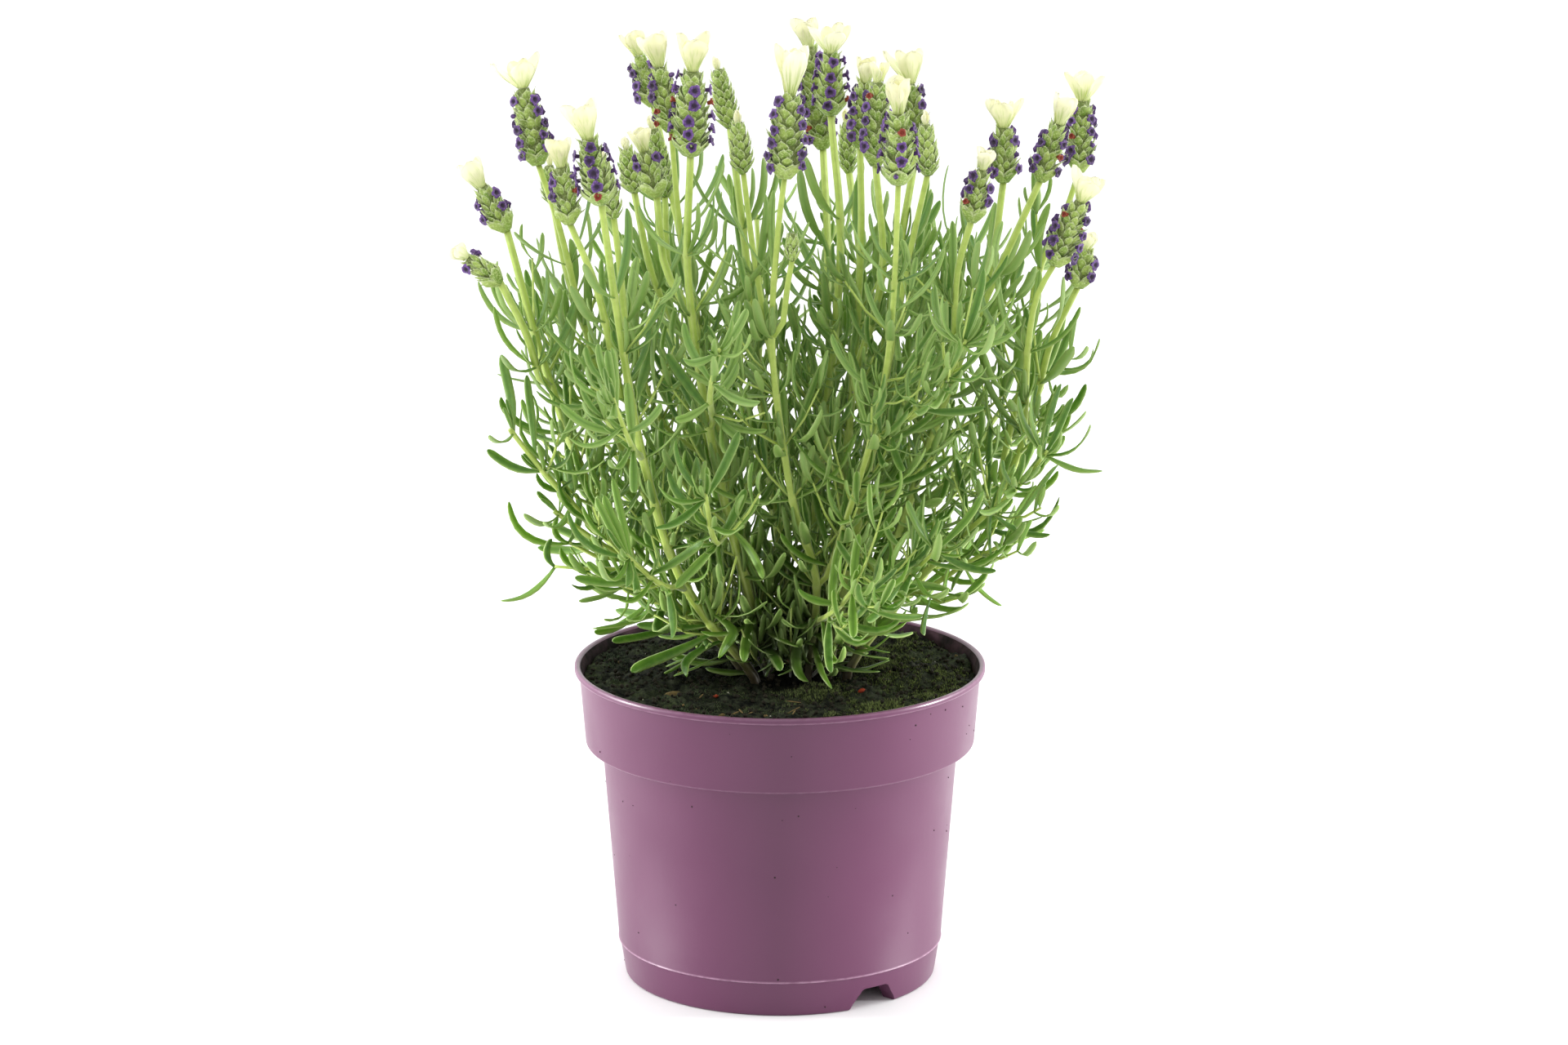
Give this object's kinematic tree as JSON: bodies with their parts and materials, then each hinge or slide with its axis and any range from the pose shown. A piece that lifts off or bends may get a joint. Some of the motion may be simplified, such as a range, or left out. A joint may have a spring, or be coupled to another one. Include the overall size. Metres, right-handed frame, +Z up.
{
  "type": "potted spanish lavender",
  "caption": "Bushy potted Spanish lavender with narrow grey-green leaves and dark purple flower spikes topped by cream bracts, in a tapered round purple plastic grower's pot.",
  "frame": {"origin": "on the pot's axis, in the plane of the foot that it stands on, which is also the middle of the whole plant seen from above", "axes": "+Z up along the pot's axis; -Y towards the viewer in the picture; +X to the viewer's right"},
  "size_m": [0.2682, 0.2455, 0.4038],
  "materials": {
    "pot_plastic": "satin moulded polypropylene, dusty purple",
    "compost": "moist dark peat with moss",
    "foliage": "soft hairy grey-green leaves on pale green stems, brown at the crown",
    "flower_head": "fuzzy green scales with dark purple florets",
    "bract": "thin cream bracts with green veins at the base"
  },
  "bodies": {
    "root": {"pot": "pot_plastic", "soil": "compost", "stem_01": "foliage", "stem_02": "foliage", "stem_03": "foliage", "stem_04": "foliage", "stem_05": "foliage", "stem_06": "foliage", "stem_07": "foliage", "stem_08": "foliage", "stem_09": "foliage", "stem_10": "foliage", "stem_11": "foliage", "stem_12": "foliage", "stem_13": "foliage", "stem_14": "foliage", "head_01": "flower_head", "head_02": "flower_head", "head_03": "flower_head", "head_04": "flower_head", "head_05": "flower_head", "head_07": "flower_head", "head_08": "flower_head", "head_09": "flower_head", "head_11": "flower_head", "head_15": "flower_head", "head_16": "flower_head", "head_17": "flower_head", "head_18": "flower_head", "head_19": "flower_head", "head_20": "flower_head", "head_21": "flower_head", "head_24": "flower_head", "head_25": "flower_head", "head_26": "flower_head", "head_27": "flower_head", "head_28": "flower_head", "head_29": "flower_head", "bracts_01": "bract", "bracts_02": "bract", "bracts_03": "bract", "bracts_04": "bract", "bracts_05": "bract", "bracts_07": "bract", "bracts_08": "bract", "bracts_09": "bract", "bracts_11": "bract", "bracts_15": "bract", "bracts_16": "bract", "bracts_17": "bract", "bracts_18": "bract", "bracts_19": "bract", "bracts_20": "bract", "bracts_21": "bract", "bracts_24": "bract", "bracts_25": "bract", "bracts_26": "bract", "bracts_27": "bract", "bracts_28": "bract", "bracts_29": "bract"}
  },
  "joints": []
}
